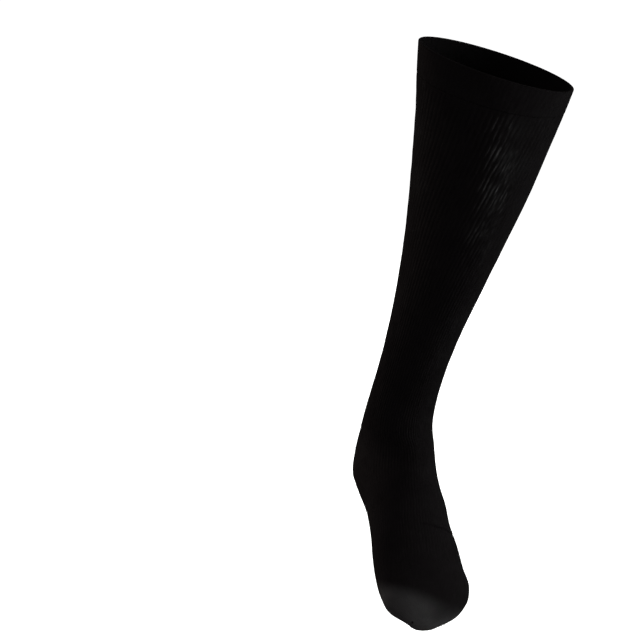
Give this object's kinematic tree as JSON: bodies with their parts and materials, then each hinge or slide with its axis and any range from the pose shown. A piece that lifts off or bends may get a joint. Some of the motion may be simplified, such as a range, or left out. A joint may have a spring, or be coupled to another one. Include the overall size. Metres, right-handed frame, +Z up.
{
  "type": "compression stocking",
  "caption": "Knee-high ribbed compression stocking for a left leg, in its hollow worn form: doubled top band, plain heel pocket and closed toe, open at the top.",
  "frame": {"origin": "centre of the top opening, where the stocking grips the wearer's leg below the knee", "axes": "+Z up as the stocking is worn, -Y towards the toes, +X to the outer side of the left leg; the shin leans 11.6 degrees towards +X and the toes turn 14.5 degrees outwards"},
  "size_m": [0.1821, 0.2459, 0.4953],
  "materials": {
    "welt_knit": "matt black doubled knit",
    "leg_knit": "matt black ribbed knit with a faint sheen",
    "heel_knit": "matt black reinforced plain knit",
    "foot_knit": "matt black knit, ribbed over the instep",
    "toe_knit": "charcoal reinforced plain knit"
  },
  "bodies": {
    "root": {"welt": "welt_knit", "leg": "leg_knit", "heel": "heel_knit", "foot": "foot_knit", "toe": "toe_knit"}
  },
  "joints": []
}
